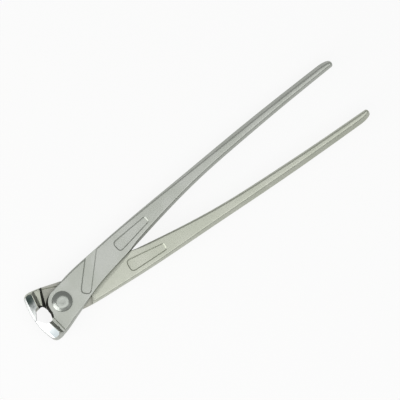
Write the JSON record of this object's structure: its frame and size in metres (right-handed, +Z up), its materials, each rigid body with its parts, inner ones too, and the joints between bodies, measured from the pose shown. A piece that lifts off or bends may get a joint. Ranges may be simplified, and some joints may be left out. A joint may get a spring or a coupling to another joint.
{
  "type": "concreters nippers",
  "caption": "Long-handled end cutting nippers: crossed forged levers on a rivet, with short wide jaws that twist and cut tying wire.",
  "frame": {"origin": "centre of the rivet's lower end face, on the pivot axis", "axes": "+Z up along the pivot axis, +X from the pivot to the handle tips along the closed tool, so the cutting edges are at -X"},
  "size_m": [0.2501, 0.0464, 0.0186],
  "materials": {
    "forged_zinc": "satin zinc plate over a drop forging, jaw faces ground bright",
    "forged_zinc_warm": "satin zinc plate, a little yellower, over a drop forging, jaw faces ground bright",
    "rivet_steel": "smooth zinc plated steel"
  },
  "bodies": {
    "lower": {"lower_lever": "forged_zinc_warm", "rivet": "rivet_steel"},
    "upper": {"upper_lever": "forged_zinc"}
  },
  "joints": [
    {"name": "rivet_pivot", "type": "hinge", "parent": "lower", "child": "upper", "pos_m": [0, 0, 0.0075], "axis": [0, 0, 1], "range_deg": [0, 50]}
  ]
}
